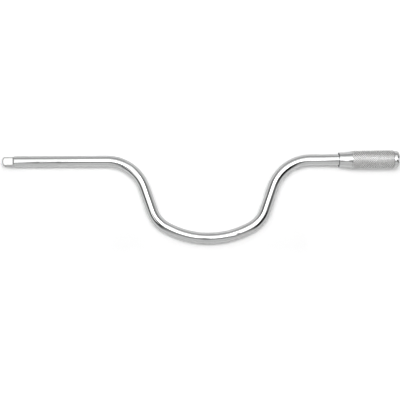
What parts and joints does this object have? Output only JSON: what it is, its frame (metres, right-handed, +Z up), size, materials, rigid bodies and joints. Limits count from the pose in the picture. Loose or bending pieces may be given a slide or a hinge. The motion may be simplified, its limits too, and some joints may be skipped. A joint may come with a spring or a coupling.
{
  "type": "speed brace",
  "caption": "Cranked steel speed brace with a square drive and sprung ball at one end and a knurled free-spinning grip at the other.",
  "frame": {"origin": "middle of the square drive's end face", "axes": "+X runs along the drive's axis from the square towards the grip, the crank's bow hangs towards -Y in the XY plane, +Z is up with the tool lying on its side"},
  "size_m": [0.4249, 0.099, 0.0196],
  "materials": {
    "bar_chrome": "polished chrome plate",
    "grip_satin": "satin chrome plate over a diamond knurl, with a polished neck",
    "cap_chrome": "polished chrome plate",
    "ball_steel": "bright hardened steel",
    "spring_steel": "drawn spring wire",
    "bush_bronze": "oiled sintered bronze",
    "washer_zinc": "bright zinc plate",
    "ring_black": "phosphated spring steel"
  },
  "bodies": {
    "brace": {"crank_bar": "bar_chrome", "detent_spring": "spring_steel", "retaining_washer": "washer_zinc", "retaining_ring": "ring_black"},
    "grip": {"grip_sleeve": "grip_satin", "front_bush": "bush_bronze", "rear_bush": "bush_bronze", "end_cap": "cap_chrome"},
    "ball": {"detent_ball": "ball_steel"}
  },
  "joints": [
    {"name": "grip_spin", "type": "hinge", "parent": "brace", "child": "grip", "pos_m": [0.39, 0, 0], "axis": [1, 0, 0], "continuous": true},
    {"name": "detent_press", "type": "slide", "parent": "brace", "child": "ball", "axis": [0, 0, 1], "range_m": [0, 0.0008], "stiffness_N_per_m": 3000, "deforming": ["detent_spring"]}
  ]
}
